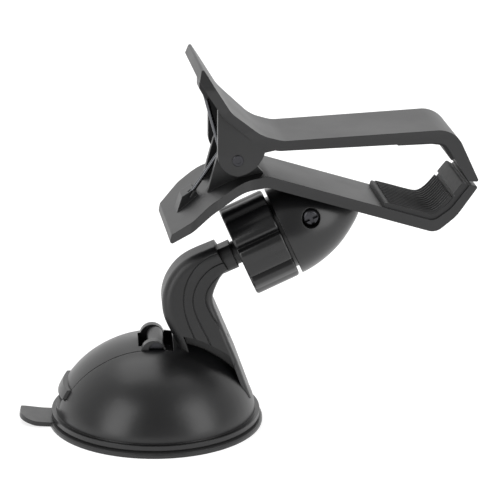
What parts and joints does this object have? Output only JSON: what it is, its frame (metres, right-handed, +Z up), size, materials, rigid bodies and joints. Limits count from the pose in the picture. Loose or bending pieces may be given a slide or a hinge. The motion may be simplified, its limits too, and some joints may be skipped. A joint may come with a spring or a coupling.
{
  "type": "car phone mount",
  "caption": "Phone mount with a lever-locked suction base, curved arm, ball joint tightened by a lobed collar nut, and a sprung two-jaw clip with ribbed rubber pads.",
  "frame": {"origin": "centre of the suction disc's flat underside", "axes": "+Z up from the mounting surface, +X from the lock lever towards the arm and the clip's tip, +Y to the far side"},
  "size_m": [0.1603, 0.076, 0.1328],
  "materials": {
    "base_rubber": "smooth soft rubber, faint sheen",
    "satin_black": "fine-textured satin black moulding",
    "lever_black": "fine-textured satin black moulding",
    "dark_grip": "satin black moulding, slightly glossier",
    "pad_rubber": "matt ribbed rubber",
    "black_acetal": "black acetal, smooth and slightly waxy",
    "black_steel": "black oxide steel",
    "bright_steel": "drawn spring steel, dark patented finish"
  },
  "bodies": {
    "base": {"suction_disc": "base_rubber", "dome_cover": "satin_black", "arm_shell_near": "satin_black", "arm_shell_far": "satin_black", "arm_screws": "black_steel", "arm_bolts": "bright_steel", "ball_stud": "satin_black"},
    "stem": {"lock_stem": "satin_black", "stem_plate": "bright_steel", "stem_screw": "bright_steel", "stem_spring": "bright_steel", "lever_pin": "black_steel"},
    "lever": {"lock_lever": "lever_black"},
    "seat": {"ball_seat": "black_acetal"},
    "ring": {"friction_ring": "black_acetal"},
    "clamp": {"socket_housing": "satin_black", "housing_screws": "black_steel", "lower_jaw": "satin_black", "lower_pad": "pad_rubber", "hinge_pin": "black_steel", "hinge_washers": "black_acetal", "spring_sleeve": "black_acetal", "torsion_spring": "bright_steel"},
    "collar": {"collar_nut": "dark_grip"},
    "upper": {"upper_jaw": "satin_black", "upper_pad": "pad_rubber"}
  },
  "joints": [
    {"name": "stem_slide", "type": "slide", "parent": "base", "child": "stem", "axis": [0, 0, 1], "range_m": [-0.002, 0], "deforming": ["stem_spring"]},
    {"name": "lever_hinge", "type": "hinge", "parent": "stem", "child": "lever", "pos_m": [0, 0, 0.0294], "axis": [0, 1, 0], "range_deg": [0, 90]},
    {"name": "ball_swing", "type": "hinge", "parent": "base", "child": "seat", "pos_m": [0.03645, 0, 0.0655], "axis": [-0.4056, -0.0305, 0.9135], "range_deg": [-18, 18]},
    {"name": "ball_tilt", "type": "hinge", "parent": "seat", "child": "ring", "pos_m": [0.03645, 0, 0.0655], "axis": [-0.075, 0.9972, 0], "range_deg": [-18, 18]},
    {"name": "ball_turn", "type": "hinge", "parent": "ring", "child": "clamp", "pos_m": [0.03645, 0, 0.0655], "axis": [0.911, 0.0685, 0.4067], "range_deg": [-90, 90]},
    {"name": "nut_turn", "type": "hinge", "parent": "clamp", "child": "collar", "pos_m": [0.03645, 0, 0.0655], "axis": [0.911, 0.0685, 0.4067], "range_deg": [-90, 0]},
    {"name": "jaw_hinge", "type": "hinge", "parent": "clamp", "child": "upper", "pos_m": [0.02688, -0.00072, 0.0996], "axis": [0.075, -0.9972, 0], "range_deg": [0, 45], "stiffness_Nm_per_rad": 0.2, "springref_deg": -45.84, "deforming": ["torsion_spring"]}
  ],
  "couplings": [
    {"joint": "lever_hinge", "follows": "stem_slide", "rad_per_m": -785.39}
  ]
}
